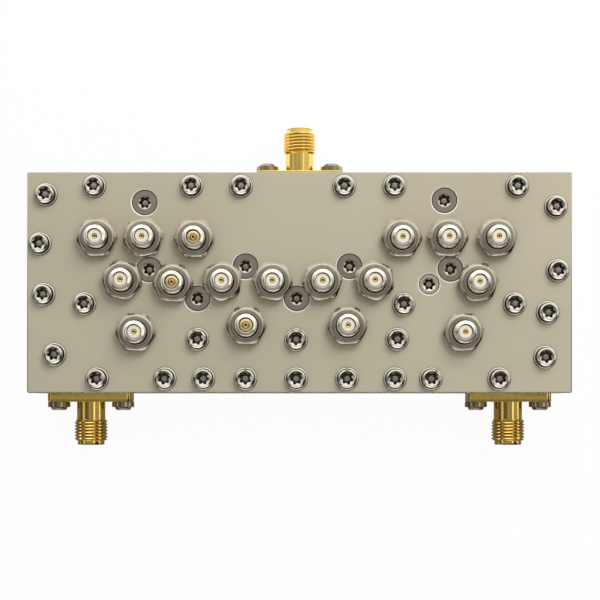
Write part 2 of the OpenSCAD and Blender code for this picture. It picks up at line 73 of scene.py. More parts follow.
# Places on the cover, and how each nut and screw happens to be turned, in degrees
LOW_BAND = [
    (-29.9, -9.2), (-32.4, 0.3), (-37, 8.1), (-28.5, 8.1), (-19.2, 7.9),
    (-23.1, -0.2), (-14.1, 0.1), (-9.7, -8), (-4.9, 0.1),
]
HIGH_BAND = [
    (30, -9.2), (32.6, -0.1), (36.1, 8.1), (27.1, 8.1), (18.7, 8), (13.7, 0.2), (8.8, -8), (4.2, 0.1),
]
TUNERS = LOW_BAND + HIGH_BAND
NUT_TURNS = [-2, -12, 4, 12, -1, -1, 24, 0, -10, 1, 8, 5, -2, -1, -23, 2, 10]
BRASS_TUNERS = [4, 5, 7]
EDGE_INSET = 2.6
SCREWS = (
    [(x, SIDE_Y - EDGE_INSET) for x in (-37.6, -19.8, -10.7, 8.2, 17.4, 39.9)]
    + [(x, EDGE_INSET - SIDE_Y) for x in (-37.1, -24.7, -17.6, -9.9, -0.6, 8.7, 17.5, 24.1, 36.6)]
    + [(-46.5, 16.1), (-47.6, 7.1), (-46.9, -2.2), (-44.9, -13.2)]
    + [(47, 13.9), (47.3, 2.2), (45.5, -5.5), (45, -13.7)]
    + [(-39.4, -3.9), (-18.7, -10.4), (-0.6, -10.5), (17.9, -10.4), (19.1, -4), (39.4, -3.9)]
)
FLUSH_SCREWS = [
    (-28.4, 14.7), (-27.6, 2.4), (-18.7, -2.9), (-9.9, 3),
    (-0.5, -2.9), (9.2, 3), (26.6, 15.1), (27.7, 2.5),
]
SMALL_FLUSH_SCREW = (23.8, -0.3)
SCREW_TURNS = [37 * i for i in range(len(SCREWS))]

# One turn of a thread, as shares of its pitch and of its depth, and how steeply it runs out at its ends
THREAD_FORM = ((0.06, 0), (0.26, 0.72), (0.5, 1), (0.74, 0.72), (0.94, 0))
RUN_OUT = 1.2

# An edge that turns by more than this many degrees stays crisp
CREASE = 28


# Node trees

def add(tree, kind, inputs=None, **settings):
    """Adds a node, sets its properties, and feeds its inputs with values or sockets."""
    node = tree.nodes.new(kind)
    for key, value in settings.items():
        setattr(node, key, value)
    for key, value in (inputs or {}).items():
        if isinstance(value, Field):
            value = value.socket
        if isinstance(value, bpy.types.NodeSocket):
            tree.links.new(value, node.inputs[key])
        else:
            node.inputs[key].default_value = value
    return node


class Field:
    """A number in a node tree, with ordinary arithmetic."""

    def __init__(self, tree, socket):
        self.tree = tree
        self.socket = socket

    def math(self, operation, *others):
        terms = dict(enumerate((self, *others)))
        return Field(self.tree, add(self.tree, "ShaderNodeMath", terms, operation=operation).outputs[0])

    def __add__(self, other):
        return self.math("ADD", other)

    __radd__ = __add__

    def __mul__(self, other):
        return self.math("MULTIPLY", other)

    __rmul__ = __mul__

    def __sub__(self, other):
        return self.math("SUBTRACT", other)

    def __rsub__(self, other):
        return self * -1 + other

    def __truediv__(self, other):
        return self.math("DIVIDE", other)

    def clamp(self, low, high):
        return self.math("MAXIMUM", low).math("MINIMUM", high)


def parts_of(tree, vector):
    """The three numbers of a vector."""
    apart = add(tree, "ShaderNodeSeparateXYZ", {0: vector})
    return [Field(tree, apart.outputs[i]) for i in range(3)]


def link_object(name, data):
    """A new object in the scene."""
    item = bpy.data.objects.new(name, data)
    bpy.context.scene.collection.objects.link(item)
    return item


# Turned pieces: a profile is swept round Z in a node tree and set at every place

def turned_tree(name, sizes, profile):
    """A node tree that turns a profile of (radius, height) rows, in millimetres, at each point."""
    tree = bpy.data.node_groups.new(name, "GeometryNodeTree")
    tree.interface.new_socket("Places", in_out="INPUT", socket_type="NodeSocketGeometry")
    for size in sizes:
        tree.interface.new_socket(size, in_out="INPUT", socket_type="NodeSocketFloat")
    tree.interface.new_socket("Segments", in_out="INPUT", socket_type="NodeSocketInt")
    tree.interface.new_socket("Finish", in_out="INPUT", socket_type="NodeSocketMaterial")
    tree.interface.new_socket("Pieces", in_out="OUTPUT", socket_type="NodeSocketGeometry")
    given = add(tree, "NodeGroupInput")
    count = Field(tree, given.outputs["Segments"])
    index = Field(tree, add(tree, "GeometryNodeInputIndex").outputs[0])

    # The rows need the angle, and the angle needs their number, so its node is made first and fed afterwards
    angle_node = add(tree, "ShaderNodeMath", {1: 2 * math.pi}, operation="MULTIPLY")
    turn = Field(tree, angle_node.outputs[0])
    rows = profile({key: Field(tree, given.outputs[key]) for key in sizes}, turn)
    column = (index / len(rows)).math("FLOOR")
    row = (index - column * len(rows)).math("ROUND")
    tree.links.new((column / count).socket, angle_node.inputs[0])

    picked = []
    for part in (0, 1):
        switch = add(tree, "GeometryNodeIndexSwitch", {0: row}, data_type="FLOAT")
        for _ in range(len(rows) - 2):
            switch.index_switch_items.new()
        for i, pair in enumerate(rows):
            if isinstance(pair[part], Field):
                tree.links.new(pair[part].socket, switch.inputs[i + 1])
            else:
                switch.inputs[i + 1].default_value = pair[part]
        picked.append(Field(tree, switch.outputs[0]) * MM)
    radius, height = picked
    place = add(tree, "ShaderNodeCombineXYZ", {
        0: radius * turn.math("COSINE"), 1: radius * turn.math("SINE"), 2: height,
    })
    grid = add(tree, "GeometryNodeMeshGrid", {
        "Size X": 1.0, "Size Y": 1.0, "Vertices X": count + 1, "Vertices Y": len(rows),
    })
    shaped = add(tree, "GeometryNodeSetPosition", {"Geometry": grid.outputs[0], "Position": place.outputs[0]})
    closed = add(tree, "GeometryNodeMergeByDistance", {"Geometry": shaped.outputs[0], "Distance": 1e-6})
    kept = add(tree, "GeometryNodeStoreNamedAttribute", {
        "Geometry": closed.outputs[0], "Name": "turned",
        "Value": add(tree, "GeometryNodeInputPosition").outputs[0],
    }, data_type="FLOAT_VECTOR", domain="POINT")
    facing = add(tree, "GeometryNodeInputNamedAttribute", {"Name": "facing"}, data_type="FLOAT_VECTOR")
    angles = add(tree, "FunctionNodeEulerToRotation", {0: facing.outputs[0]})
    copies = add(tree, "GeometryNodeInstanceOnPoints", {
        "Points": given.outputs["Places"], "Instance": kept.outputs[0], "Rotation": angles.outputs[0],
    })
    real = add(tree, "GeometryNodeRealizeInstances", {0: copies.outputs[0]})
    coated = add(tree, "GeometryNodeSetMaterial", {
        "Geometry": real.outputs[0], "Material": given.outputs["Finish"],
    })
    add(tree, "NodeGroupOutput", {0: coated.outputs[0]})
    return tree


def settle(piece, mesh):
    """Gives a piece its final closed mesh, with faces outwards and crisp edges where it turns sharply."""
    form = bmesh.new()
    form.from_mesh(mesh)
    bmesh.ops.dissolve_degenerate(form, dist=1e-7, edges=form.edges)
    bmesh.ops.recalc_face_normals(form, faces=form.faces)
    form.to_mesh(mesh)
    form.free()
    mesh.shade_smooth()
    mesh.set_sharp_from_angle(angle=math.radians(CREASE))
    piece.modifiers.clear()
    piece.data = mesh


def finish_piece(piece, stands_for=()):
    """Says what a piece rides on, and hides the nodes it stands for."""
    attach(piece, "root")
    if stands_for:
        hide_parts(*stands_for)


def turned(name, sizes, profile, places, finish, stands_for, segments):
    """Makes one piece of a turned profile that is set at every place, as (x, y, z, facing)."""
    points = bpy.data.meshes.new(name + "_places")
    points.from_pydata([Vector(place[:3]) * MM for place in places], [], [])
    facing = points.attributes.new("facing", "FLOAT_VECTOR", "POINT")
    for item, place in zip(facing.data, places):
        item.vector = Vector(place[3])
    piece = link_object(name, points)
    tree = turned_tree(name, sizes, profile)
    modifier = piece.modifiers.new(name, "NODES")
    modifier.node_group = tree
    values = {**sizes, "Segments": segments, "Finish": finish}
    for item in tree.interface.items_tree:
        if item.in_out == "INPUT" and item.name in values:
            value = values[item.name]
            modifier[item.identifier] = float(value) if item.name in sizes else value
    graph = bpy.context.evaluated_depsgraph_get()
    settle(piece, bpy.data.meshes.new_from_object(piece.evaluated_get(graph), depsgraph=graph))
    finish_piece(piece, stands_for)


def upright(spots, z, turns=None):
    """Places on the cover, each turned about Z."""
    return [
        (x, y, z, (0, 0, math.radians(turns[i] if turns else 0)))
        for i, (x, y) in enumerate(spots)
    ]


def thread_rows(turn, low, high, crest, root, pitch):
    """Rows of an external thread that climbs one pitch a turn and runs out at both ends."""
    rows = []
    climb = turn * (pitch / (2 * math.pi))
    for k in range(-1, math.ceil((high - low) / pitch) + 1):
        for phase, share in THREAD_FORM:
            height = (climb + (low + (k + phase) * pitch)).clamp(low, high)
            if share:
                ends = (height - low).math("MINIMUM", high - height)
                radius = (ends * RUN_OUT + root).math("MINIMUM", root + (crest - root) * share)
                rows.append((radius, height))
            else:
                rows.append((root, height))
    return rows


def recess_rows(turn, top, rim, slope, outer, inner, depth):
    """Rows of a six-lobed recess in a conical dish, from the dish's rim to the middle of the recess."""
    lobes = (turn * 6).math("COSINE") * ((outer - inner) / 2) + (outer + inner) / 2
    brink = (rim - lobes) * (slope * -1) + top
    return [
        (rim, top),
        (rim - 0.03, top - 0.03 * slope),
        (lobes + 0.02, brink + 0.02 * slope),
        (lobes - 0.03, brink - 0.06),
        (lobes - 0.2, top - depth + 0.06),
        (lobes - 0.27, top - depth),
        (0.0, top - depth + 0.06),
    ]


# Finishes. The two colours here are linear, and the depth is in metres

# The dark colour that turned finishes blend in by bands: mostly painted shade in recesses, bores, grooves,
# gaps and on edges
PAINTED_SHADE_TONE = (0.014, 0.011, 0.008)
# Painted shade for a line across the port flanges
PAINTED_SHADE_GOLD = (0.05, 0.03, 0.01)
SATIN_METALLIC = 0.12
SATIN_ROUGH = (0.36, 0.46)
BARE_METALLIC = 0.95
BARE_ROUGH = 0.1
GROOVE_DEPTH = 0.000006


def rgba(red, green, blue):
    """A colour as seen on a screen, from 0 to 255, made linear."""
    return tuple(((v / 255 + 0.055) / 1.055) ** 2.4 if v > 10 else v / 3294.6 for v in (red, green, blue))


def new_finish(name, colour, metallic, roughness):
    """A material with its node tree and its shader, ready for the rest of its nodes."""
    material = bpy.data.materials.new(name)
    material.use_nodes = True
    shader = material.node_tree.nodes["Principled BSDF"]
    shader.inputs["Base Color"].default_value = (*colour, 1)
    shader.inputs["Metallic"].default_value = metallic
    shader.inputs["Roughness"].default_value = roughness
    return material, material.node_tree, shader


def noise(tree, vector, scale, detail, roughness=0.5):
    """The strength of a noise at each place, mostly from 0.3 to 0.7."""
    texture = add(tree, "ShaderNodeTexNoise", {
        "Vector": vector, "Scale": scale, "Detail": detail, "Roughness": roughness,
    })
    return texture.outputs[0]


def spread_of(tree, source, low, high):
    """Maps a noise's usual span to a range."""
    span = {0: source, "From Min": 0.3, "From Max": 0.7, "To Min": low, "To Max": high}
    return add(tree, "ShaderNodeMapRange", span).outputs[0]


def blended(tree, amount, low, high):
    """Turns a colour, or the colour at a socket, into a second one by an amount."""
    first = low if isinstance(low, bpy.types.NodeSocket) else (*low, 1)
    return add(tree, "ShaderNodeMix", {0: amount, 6: first, 7: (*high, 1)}, data_type="RGBA").outputs[2]


def set_bump(tree, shader, height, strength, distance):
    """Gives a shader bumps from a height of 0 to 1, with their depth in metres as the distance."""
    bump = add(tree, "ShaderNodeBump", {"Height": height, "Strength": strength, "Distance": distance})
    tree.links.new(bump.outputs[0], shader.inputs["Normal"])


def satin_finish(name, dark, light, bare_and_painted=None):
    """A satin coat with a fine grain and a slow drift of tone.

    The last argument gives the tones of bevelled edges, which are uncoated steel, of countersinks, near-white
    as a painted sheen, and of the gap at a countersink's foot, dark as painted shade.
    """
    material, tree, shader = new_finish(name, light, SATIN_METALLIC, 0.4)
    place = add(tree, "ShaderNodeTexCoord").outputs["Object"]
    grain = noise(tree, place, 3600.0, 3.0, 0.6)
    drift = noise(tree, place, 38.0, 2.0)
    half = (Field(tree, grain) + Field(tree, drift)) * 0.5
    tone = blended(tree, spread_of(tree, half.socket, 0, 1), dark, light)
    sheen = Field(tree, spread_of(tree, grain, *SATIN_ROUGH))
    set_bump(tree, shader, grain, 0.25, 0.00002)
    if bare_and_painted:
        steel, painted_sheen, gap = bare_and_painted
        lean = parts_of(tree, add(tree, "ShaderNodeNewGeometry").outputs["Normal"])[2]
        sloped = lean.math("GREATER_THAN", 0.3) * lean.math("LESS_THAN", 0.94)
        x, y, z = (part * 1000 for part in parts_of(tree, place))
        within_x = x.math("ABSOLUTE").math("LESS_THAN", SIDE_X - 0.5)
        within_y = y.math("ABSOLUTE").math("LESS_THAN", SIDE_Y - 0.5)
        inner = within_x * within_y
        # Painted shade: the gap at a countersink's foot is given a dark tone
        deep = ((COVER_TOP - 0.19 - z) * 30).clamp(0, 1) * inner
        edge = sloped * (1 - inner)
        tone = blended(tree, edge, tone, steel)
        # Countersinks get a near-white tone: a painted sheen
        tone = blended(tree, sloped * inner, tone, painted_sheen)
        tone = blended(tree, deep, tone, gap)
        metallic = edge * (BARE_METALLIC - SATIN_METALLIC) + SATIN_METALLIC
        tree.links.new(metallic.socket, shader.inputs["Metallic"])
        sheen = sheen * (1 - edge) + edge * BARE_ROUGH
    tree.links.new(tone, shader.inputs["Base Color"])
    tree.links.new(sheen.socket, shader.inputs["Roughness"])
    return material


def turned_finish(name, dark, light, rough, bands, metallic=1):
    """A metal with the rings that a lathe leaves round each piece's own axis, and painted shade in bands.

    A band is (inner radius, outer radius, bottom, top, share), in millimetres on the piece's own axis.
    """
    material, tree, shader = new_finish(name, light, metallic, 0.3)
    place = add(tree, "ShaderNodeAttribute", attribute_name="turned").outputs["Vector"]
    x, y, z = (part * 1000 for part in parts_of(tree, place))
    out = (x * x + y * y).math("SQRT")
    rings = add(tree, "ShaderNodeCombineXYZ", {0: out, 1: z, 2: 0.0}).outputs[0]
    groove = noise(tree, rings, 9.0, 2.0, 0.65)
    lines = noise(tree, rings, 3.2, 3.0, 0.7)
    cloud = noise(tree, add(tree, "ShaderNodeTexCoord").outputs["Object"], 700.0, 2.0)
    mixed = Field(tree, lines) * 0.7 + Field(tree, cloud) * 0.3
    tone = blended(tree, spread_of(tree, mixed.socket, 0, 1), dark, light)
    painted_shade = None
    for inner, outer, bottom, top, share in bands:
        within = ((out - inner) * 50).clamp(0, 1) * ((outer - out) * 50).clamp(0, 1)
        band = within * ((z - bottom) * 30).clamp(0, 1) * ((top - z) * 30).clamp(0, 1) * share
        painted_shade = painted_shade.math("MAXIMUM", band) if painted_shade else band
    tree.links.new(blended(tree, painted_shade, tone, PAINTED_SHADE_TONE), shader.inputs["Base Color"])
    tree.links.new(spread_of(tree, groove, *rough), shader.inputs["Roughness"])
    set_bump(tree, shader, groove, 0.5, GROOVE_DEPTH)
    return material


def plain_metal(name, dark, light, rough, line=None):
    """A metal with faint clouds of tone, and a line of painted shade at a distance from the block's long
    sides.
    """
    material, tree, shader = new_finish(name, light, 1, 0.3)
    place = add(tree, "ShaderNodeTexCoord").outputs["Object"]
    cloud = noise(tree, place, 900.0, 3.0)
    tone = blended(tree, spread_of(tree, cloud, 0, 1), dark, light)
    if line:
        start, end, share = line
        away = parts_of(tree, place)[1].math("ABSOLUTE") * 1000 - SIDE_Y
        shade_line = ((away - start) * 50).clamp(0, 1) * ((end - away) * 50).clamp(0, 1) * share
        tone = blended(tree, shade_line, tone, PAINTED_SHADE_GOLD)
    tree.links.new(tone, shader.inputs["Base Color"])
    tree.links.new(spread_of(tree, cloud, *rough), shader.inputs["Roughness"])
    return material


def plug_finish(name, colour):
    """A smooth white fluoropolymer, slightly waxy, with faint cutting marks."""
    material, tree, shader = new_finish(name, colour, 0, 0.42)
    shader.inputs["Subsurface Weight"].default_value = 0.15
    shader.inputs["Subsurface Radius"].default_value = (0.0004, 0.0003, 0.0002)
    marks = noise(tree, add(tree, "ShaderNodeTexCoord").outputs["Object"], 5000.0, 2.0)
    shade = tuple(0.93 * c for c in colour)
    tone = blended(tree, spread_of(tree, marks, 0, 1), shade, colour)
    tree.links.new(tone, shader.inputs["Base Color"])
    set_bump(tree, shader, marks, 0.2, 0.00001)
    return material


# The cover's bevelled edges are uncoated steel. Its countersinks are near-white, a painted sheen, and the gap
# at their foot is dark, painted shade
cover_satin = satin_finish(
    "beige_cover", rgba(185, 177, 152), rgba(198, 190, 165),
    (rgba(178, 172, 155), rgba(252, 249, 240), rgba(30, 27, 22)),
)
body_satin = satin_finish("beige_body", rgba(180, 172, 147), rgba(188, 181, 156))
# Painted shade in the bore round the sleeve and on the corners and sides. The flat top ring and its bevel
# ring are darker too
nut_steel = turned_finish(
    "nut_steel", rgba(184, 174, 153), rgba(252, 243, 220), (0.14, 0.24),
    [(-1, 2.27, -9, 9, 0.9), (2.25, 3.03, -9, 9, 0.34), (3.11, 3.34, -9, 9, 0.57), (3.34, 9, -9, 9, 0.42)],
)
# Painted shade down the inside of the mouth
sleeve_steel = turned_finish(
    "sleeve_steel", rgba(238, 230, 212), rgba(252, 245, 230), (0.1, 0.2),
    [(-1, 1.3, -9, 4.26, 0.92)],
)
# Painted shade on the recess walls, and a little at its middle
screw_steel = turned_finish(
    "screw_steel", rgba(190, 183, 170), rgba(220, 213, 200), (0.08, 0.16),
    [(0.46, 1.2, 0, 1.22, 0.86), (-1, 0.48, 0, 1.22, 0.12)],
)
# Painted shadow of the head on the seat, and painted shade round the outer edge
washer_steel = turned_finish(
    "washer_steel", rgba(208, 201, 185), rgba(228, 221, 205), (0.14, 0.24),
    [(-1, 1.86, -9, 9, 0.9), (2.05, 9, -9, 9, 0.88)], metallic=0.75,
)
# Painted shade in the recess, a little at its middle, and at the head's rim where it meets the countersink
flush_steel = turned_finish(
    "flush_steel", rgba(172, 163, 146), rgba(204, 195, 178), (0.14, 0.24),
    [(0.46, 1.2, -5, -0.24, 0.92), (-1, 0.48, -5, -0.24, 0.1), (2.18, 9, -9, 9, 0.92)],
)
# Painted shade in the recess, half as dark at its middle, and at the head's rim
pale_steel = turned_finish(
    "pale_steel", rgba(222, 213, 188), rgba(244, 235, 210), (0.2, 0.3),
    [(0.46, 1.2, -5, -0.24, 0.97), (-1, 0.48, -5, -0.24, 0.5), (1.74, 9, -9, 9, 0.8)],
)
# Painted shade in the recess and on the step between band and dome
port_screw_steel = turned_finish(
    "port_screw_steel", rgba(142, 128, 104), rgba(190, 176, 150), (0.1, 0.2),
    [(-1, 1.06, 0, 1.4, 0.95), (1.5, 9, 0.9, 1.06, 0.7)],
)
# Painted shade in the thread's roots. The tip's end and its mouth are darker too
port_gold = turned_finish(
    "port_gold", rgba(242, 202, 104), rgba(255, 222, 124), (0.06, 0.14),
    [(-1, 2.86, 5.1, 8.95, 0.34), (-1, 2.6, 9.45, 9.9, 0.4)],
)
# Painted shade in the pin's hole and round its edge
pin_tip = turned_finish(
    "pin_tip", rgba(214, 188, 84), rgba(252, 232, 128), (0.08, 0.16),
    [(-1, 0.19, 3, 9, 0.95), (0.42, 9, 3, 9, 0.6)],
)
# Painted shade in the hole, round the foot of the tip and at the rim of the face
rod_brass = turned_finish(
    "rod_brass", rgba(238, 194, 130), rgba(255, 230, 170), (0.1, 0.2),
    [(-1, 0.24, 3, 9, 0.97), (0.48, 0.66, 3, 9, 0.85), (1.16, 9, 3, 9, 0.5)], metallic=0.7,
)
# The flanges get a line of painted shade from 1.2 to 1.46 mm off the block's long side
flange_gold = plain_metal(
    "flange_gold", rgba(232, 193, 94), rgba(252, 213, 114), (0.14, 0.24), (1.2, 1.46, 0.5)
)
pin_gold = plain_metal("pin_gold", rgba(216, 186, 84), rgba(236, 208, 104), (0.14, 0.24))
silver = plain_metal("silver_coat", rgba(214, 212, 206), rgba(232, 230, 226), (0.2, 0.3))
copper = plain_metal("copper_wire", rgba(202, 140, 104), rgba(220, 158, 120), (0.22, 0.34))
white_plug = plug_finish("white_plug", rgba(246, 236, 220))


# Tuners

plain_spots = [spot for i, spot in enumerate(TUNERS) if i not in BRASS_TUNERS]
brass_spots = [TUNERS[i] for i in BRASS_TUNERS]


def nut_profile(size, turn):
    sector = turn.math("MODULO", math.pi / 3)
    hexagon = size["Across flats"] / ((sector - math.pi / 6).math("COSINE") * 2)
    outer = hexagon.math("MINIMUM", size["Corner radius"])
    slope = size["Bevel"] / (size["Corner radius"] - size["Top radius"])
    shoulder = size["Height"] - (outer - size["Top radius"]) * slope
    mouth = size["Bore"] + size["Bore bevel"]
    return [
        (size["Bore"], 0.0),
        (outer - 0.1, 0.0),
        (outer, 0.1),
        (outer, shoulder - 0.02),
        (outer - 0.02, shoulder),
        (size["Top radius"] + 0.05, size["Height"] - 0.03),
        (size["Top radius"] - 0.04, size["Height"]),
        (mouth, size["Height"]),
        (size["Bore"], size["Height"] - size["Bore bevel"]),
        (size["Bore"], 0.0),
    ]


turned(
    "lock_nuts",
    {"Across flats": 6.8, "Corner radius": 3.72, "Height": 2.1, "Top radius": 3.05, "Bevel": 0.5,
     "Bore": 2.07, "Bore bevel": 0.22},
    nut_profile, upright(TUNERS, COVER_TOP, NUT_TURNS), nut_steel,
    ["tuner_lock_nuts"], segments=120,
)


def sleeve_profile(size, turn):
    radius = size["Radius"]
    top = size["Above"]
    bore = size["Bore"]
    bottom = size["Below"] * -1
    rim = size["Rim radius"]
    drop = size["Fall"]
    brow = radius - 0.14
    foot = [(bore, bottom), (radius - 0.1, bottom), (radius, bottom + 0.1), (radius, 1.5), (brow, 1.62)]
    thread = thread_rows(turn, low=1.62, high=3.45, crest=SLEEVE_RADIUS, root=SLEEVE_ROOT, pitch=SLEEVE_PITCH)
    collar = [
        (brow, 3.5), (radius - 0.02, 3.58), (radius, 3.64),
        (radius, top - drop - 0.16), (radius - 0.02, top - drop - 0.1), (radius - 0.07, top - drop - 0.04),
    ]
    dome = [
        (brow, top - drop), ((brow + rim) / 2, top - drop * 0.48),
        (rim + 0.08, top - 0.04), (rim, top), (rim - 0.06, top - 0.02),
    ]
    mouth = [((rim + bore) / 2 - 0.02, top - 0.07), (bore, top - 0.15), (bore, bottom)]
    return foot + thread + collar + dome + mouth


turned(
    "tuning_sleeves",
    {"Radius": SLEEVE_RADIUS, "Above": 4.3, "Below": 3.9, "Bore": 1.25, "Rim radius": 1.42, "Fall": 0.18},
    sleeve_profile, upright(TUNERS, COVER_TOP), sleeve_steel,
    ["tuner_sleeves"], segments=60,
)


def plug_profile(size, turn):
    radius = size["Radius"]
    hole = size["Hole"]
    top = size["Top"]
    bottom = size["Bottom"]
    return [
        (hole, bottom), (radius, bottom), (radius, top - 0.05), (radius - 0.04, top),
        (hole + 0.03, top), (hole, top - 0.03), (hole, bottom),
    ]


turned(
    "white_plugs", {"Radius": PLUG_RADIUS, "Top": PLUG_TOP, "Bottom": PLUG_FOOT, "Hole": 0.5},
    plug_profile, upright(plain_spots, COVER_TOP), white_plug,
    ["tuner_insulators"], segments=48,
)


def pin_profile(size, turn):
    radius = size["Radius"]
    hole = size["Hole"]
    top = size["Top"]
    bottom = size["Bottom"]
    return [
        (0.0, bottom), (radius - 0.05, bottom), (radius, bottom + 0.05), (radius, top - 0.2),
        (radius - 0.03, top - 0.13), (radius - 0.1, top - 0.05), (radius - 0.18, top),
        (hole + 0.06, top - 0.03), (hole, top - 0.1),
        (hole, top - PIN_HOLE_DEPTH), (0.0, top - PIN_HOLE_DEPTH),
    ]


turned(
    "gold_pins", {"Radius": PIN_RADIUS, "Hole": PIN_HOLE, "Top": PIN_TOP, "Bottom": PIN_FOOT},
    pin_profile, upright(plain_spots, COVER_TOP), pin_tip,
    ["tuner_pins"], segments=32,
)


def rod_profile(size, turn):
    wide = size["Wide radius"]
    top = size["Top"]
    face = size["Face"]
    bottom = size["Bottom"]
    shank = [
        (0.0, bottom), (PIN_RADIUS - 0.05, bottom),
        (PIN_RADIUS, bottom + 0.05), (PIN_RADIUS, size["Shoulder"]),
    ]
    body = [(wide, size["Shoulder"]), (wide, face - 0.14), (wide - 0.04, face - 0.05), (wide - 0.13, face)]
    tip = [
        (0.56, face + 0.02), (0.5, face + 0.06), (0.46, top - 0.07), (0.4, top - 0.01), (0.33, top),
    ]
    hole = [
        (0.25, top - 0.01), (0.2, top - 0.06), (PIN_HOLE, top - 0.13),
        (PIN_HOLE, top - PIN_HOLE_DEPTH), (0.0, top - PIN_HOLE_DEPTH),
    ]
    return shank + body + tip + hole


turned(
    "brass_rods",
    {"Wide radius": PLUG_RADIUS, "Face": PLUG_TOP, "Top": PIN_TOP, "Shoulder": PLUG_FOOT, "Bottom": PIN_FOOT},
    rod_profile, upright(brass_spots, COVER_TOP), rod_brass,
    ["brass_tuning_rods"], segments=48,
)


# Cover screws

def washer_profile(size, turn):
    radius = size["Radius"]
    hole = size["Hole"]
    thick = size["Thickness"]
    crown = thick + size["Crown"]
    return [
        (hole, 0.0), (radius - 0.06, 0.0), (radius, 0.06), (radius, crown - 0.14),
        (radius - 0.12, crown - 0.06), (radius - 0.19, crown - 0.02), (radius - 0.27, crown),
        (radius - 0.34, crown - 0.05), (radius - 0.47, thick - 0.02), (hole, thick - 0.02), (hole, 0.0),
    ]


turned(
    "washers", {"Radius": 2.15, "Thickness": WASHER_T, "Crown": 0.08, "Hole": 1.15},
    washer_profile, upright(SCREWS, COVER_TOP), washer_steel,
    ["cover_washers"], segments=60,
)


def raised_profile(size, turn):
    radius = size["Head radius"]
    stem = size["Stem radius"]
    top = size["Head height"]
    bottom = size["Length"] * -1
    shank = [(0.0, bottom), (stem - 0.1, bottom), (stem, bottom + 0.1), (stem, 0.0)]
    head = [
        (radius * 0.92, 0.0), (radius - 0.03, 0.08), (radius, 0.16), (radius, top - 0.28),
        (radius - 0.01, top - 0.24), (radius - 0.12, top - 0.16),
        (radius - 0.22, top - 0.09), (radius - 0.3, top - 0.03),
    ]
    recess = recess_rows(turn, top, size["Dish radius"], slope=0.5, outer=1.16, inner=0.8, depth=0.9)
    return shank + head + recess


turned(
    "raised_screws",
    {"Head radius": 1.68, "Head height": 1.5, "Stem radius": 1.0, "Dish radius": 1.36, "Length": 5.8},
    raised_profile, upright(SCREWS, COVER_TOP + WASHER_T, SCREW_TURNS), screw_steel,
    ["cover_screws"], segments=72,
)


def flush_profile(size, turn):
    radius = size["Head radius"]
    stem = size["Stem radius"]
    dish = size["Dish radius"]
    bottom = size["Length"] * -1
    shank = [(0.0, bottom), (stem - 0.1, bottom), (stem, bottom + 0.1), (stem, stem - radius - 0.1)]
    head = [(radius, -0.1), (radius, -0.06), (radius - 0.07, 0.0), (radius - 0.11, 0.0), (dish + 0.04, 0.0)]
    return shank + head + recess_rows(turn, 0.0, dish, slope=0.46, outer=1.12, inner=0.78, depth=0.8)


turned(
    "countersunk_screws",
    {"Head radius": 2.25, "Stem radius": 1.25, "Dish radius": 1.24, "Length": 6.3},
    flush_profile, upright(FLUSH_SCREWS, COVER_TOP - FLUSH_SINK, SCREW_TURNS),
    flush_steel,
    ["flush_screws"], segments=72,
)
turned(
    "small_countersunk_screw",
    {"Head radius": 1.8, "Stem radius": 1.0, "Dish radius": 1.24, "Length": 6.3},
    flush_profile, upright([SMALL_FLUSH_SCREW], COVER_TOP - FLUSH_SINK), pale_steel,
    ["small_flush_screw"], segments=72,
)


# Ports: each stands on a long side, with its axis level

towards_common = (math.radians(-90), 0, 0)
towards_bands = (math.radians(90), 0, 0)
PORTS = [
    (0, SIDE_Y, PORT_Z, towards_common),
    (-PORT_X, -SIDE_Y, PORT_Z, towards_bands),
    (PORT_X, -SIDE_Y, PORT_Z, towards_bands),
]


def shell_profile(size, turn):
    barrel = size["Barrel radius"]
    tip = size["Tip radius"]
    mouth = size["Mouth radius"]
    end = size["Length"]
    base = [(PORT_BORE, 0.1), (barrel, 0.1), (barrel, 4.95), (2.78, 5.05)]
    thread = thread_rows(turn, low=5.05, high=9.0, crest=3.12, root=2.78, pitch=PORT_PITCH)
    nose = [(tip, 9.06), (tip, end - 0.1), (tip - 0.03, end - 0.03), (tip - 0.1, end)]
    bore = [
        (mouth + 0.06, end), (mouth, end - 0.06), (mouth, end - 1.95),
        (PORT_BORE, end - 1.95), (PORT_BORE, 0.1),
    ]
    return base + thread + nose + bore


turned(
    "port_barrels", {"Barrel radius": 2.67, "Tip radius": 2.52, "Length": 9.8, "Mouth radius": 2.31},
    shell_profile, PORTS, port_gold,
    ["common_port_shell", "low_port_shell", "high_port_shell"], segments=72,
)


def outline(width, height, corner, inset, steps=8):
    """Points round a rectangle with round corners, drawn in by an inset."""
    points = []
    radius = corner - inset
    for k, (sx, sy) in enumerate(((1, 1), (-1, 1), (-1, -1), (1, -1))):
        for i in range(steps + 1):
            angle = math.radians(90 * k + 90 * i / steps)
            points.append((
                sx * (width / 2 - corner) + radius * math.cos(angle),
                sy * (height / 2 - corner) + radius * math.sin(angle),
            ))
    return points


def ring(centre, radius, steps=40):
    """Points round a circle whose centre is on the flange's long axis."""
    return [
        (centre + radius * math.cos(2 * math.pi * i / steps), radius * math.sin(2 * math.pi * i / steps))
        for i in range(steps)
    ]


def flange_loops(inset):
    """The flange's outline, its two screw holes and the hole for the barrel."""
    return [
        outline(FLANGE_W, FLANGE_H, FLANGE_CORNER, inset),
        ring(-FLANGE_PITCH / 2, FLANGE_HOLE + inset * 0.5),
        ring(FLANGE_PITCH / 2, FLANGE_HOLE + inset * 0.5),
        ring(0, BARREL_HOLE + inset * 0.5),
    ]


